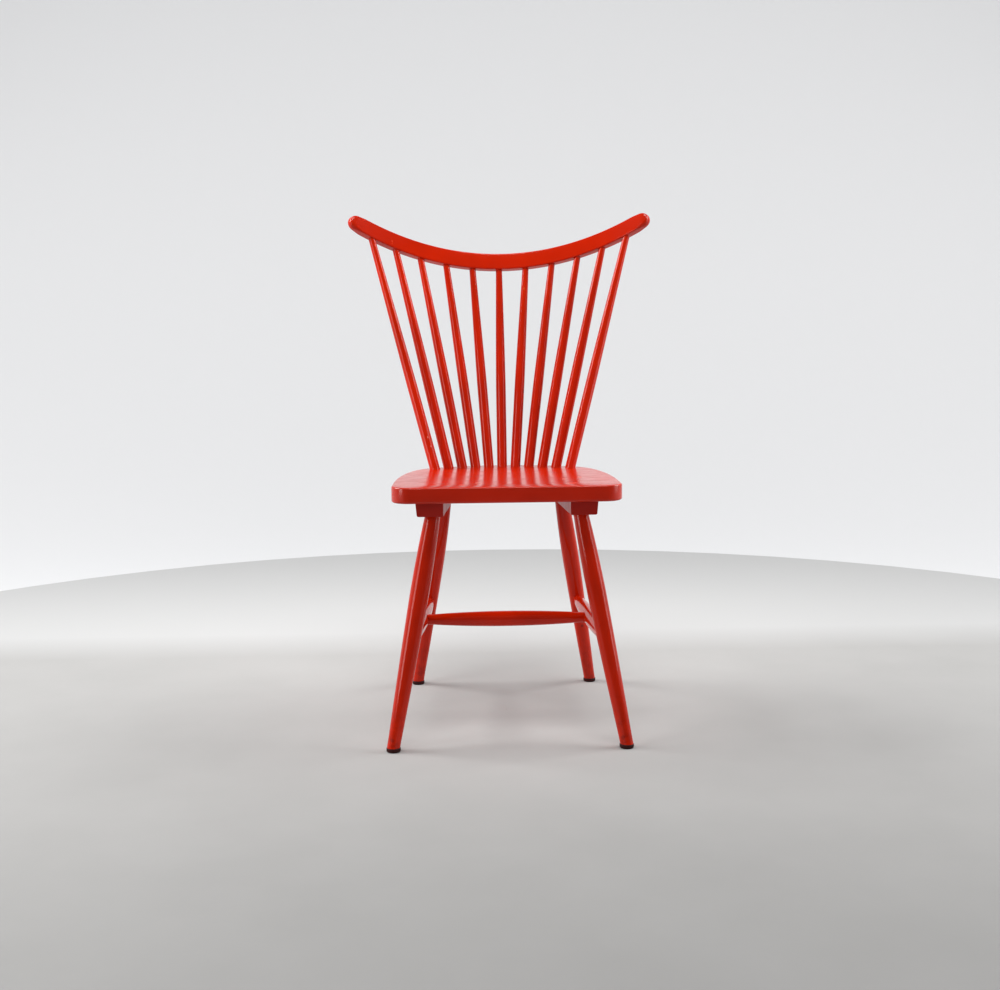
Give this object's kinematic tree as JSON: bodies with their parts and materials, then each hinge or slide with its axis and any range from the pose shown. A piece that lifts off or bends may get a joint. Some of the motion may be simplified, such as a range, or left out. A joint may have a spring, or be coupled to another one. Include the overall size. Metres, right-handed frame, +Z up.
{
  "type": "spindle-back chair",
  "caption": "Red painted wooden side chair with a D-shaped plank seat, splayed turned legs with stretchers, and a fan of turned spindles under a bowed, upswept crest rail.",
  "frame": {"origin": "on the floor, under the middle of the chair's box", "axes": "+Z up, -Y out of the front of the seat, +X to the right as seen from the front"},
  "size_m": [0.5758, 0.5004, 0.9207],
  "materials": {
    "red_paint": "glossy orange-red paint over turned and sawn hardwood, lightly worn",
    "glide_plastic": "scuffed dark brown plastic",
    "steel": "dull plated steel"
  },
  "bodies": {
    "root": {"seat": "red_paint", "crest_rail": "red_paint", "spindle_01": "red_paint", "spindle_02": "red_paint", "spindle_03": "red_paint", "spindle_04": "red_paint", "spindle_05": "red_paint", "spindle_06": "red_paint", "spindle_07": "red_paint", "spindle_08": "red_paint", "spindle_09": "red_paint", "spindle_10": "red_paint", "spindle_11": "red_paint", "batten_left": "red_paint", "batten_right": "red_paint", "leg_front_left": "red_paint", "leg_front_right": "red_paint", "leg_rear_left": "red_paint", "leg_rear_right": "red_paint", "side_stretcher_left": "red_paint", "side_stretcher_right": "red_paint", "cross_stretcher": "red_paint", "glide_front_left": "glide_plastic", "glide_front_right": "glide_plastic", "glide_rear_left": "glide_plastic", "glide_rear_right": "glide_plastic", "glide_nail_front_left": "steel", "glide_nail_front_right": "steel", "glide_nail_rear_left": "steel", "glide_nail_rear_right": "steel", "batten_screw_left_1": "steel", "batten_screw_left_2": "steel", "batten_screw_left_3": "steel", "batten_screw_right_1": "steel", "batten_screw_right_2": "steel", "batten_screw_right_3": "steel"}
  },
  "joints": []
}
